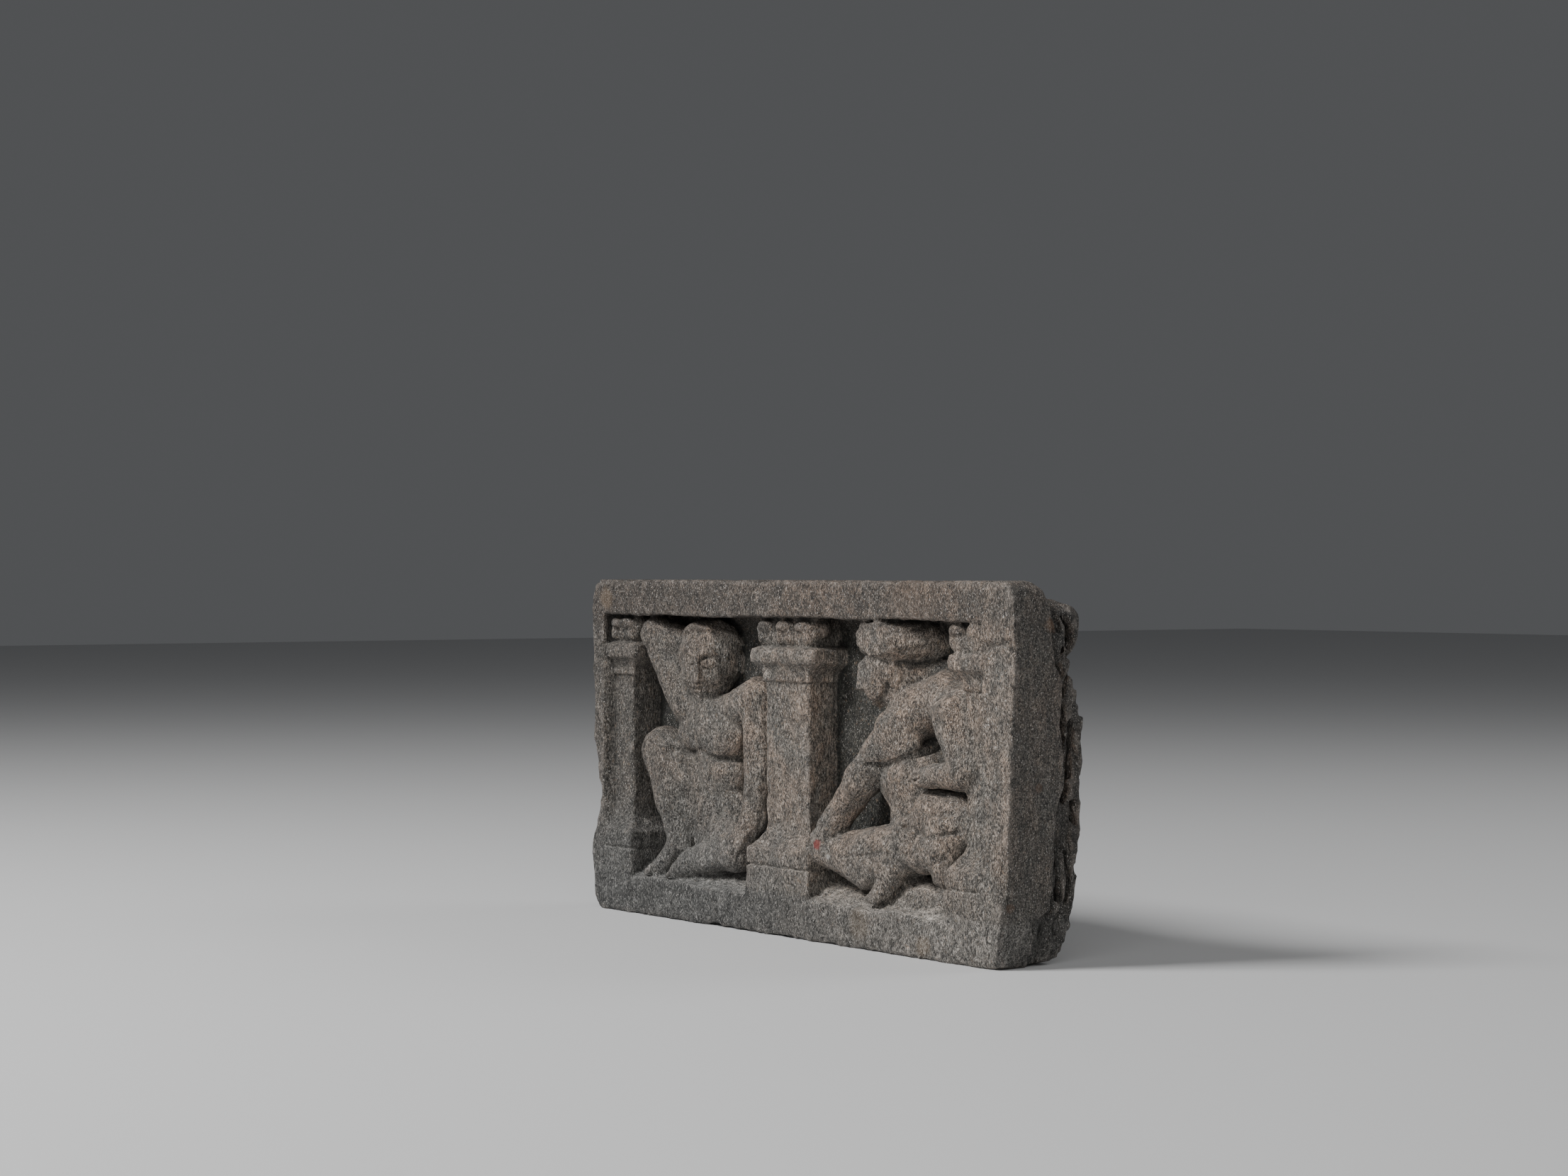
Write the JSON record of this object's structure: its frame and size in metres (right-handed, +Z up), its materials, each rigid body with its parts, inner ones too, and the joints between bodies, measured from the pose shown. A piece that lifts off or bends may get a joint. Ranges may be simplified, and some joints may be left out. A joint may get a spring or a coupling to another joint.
{
  "type": "stone relief panel",
  "caption": "Small carved schist frieze panel: a plain lintel and base joined by squat pillars, with a crouching bearer in each bay between them.",
  "frame": {"origin": "middle of the underside, at the centre of the footprint box", "axes": "+X to the viewer's right along the panel, +Y into the panel towards its broken back, +Z up; the carved face looks along -Y"},
  "size_m": [0.3438, 0.052, 0.17],
  "materials": {
    "schist": "rough carved grey-brown mica schist"
  },
  "bodies": {
    "root": {"relief_panel": "schist"}
  },
  "joints": []
}
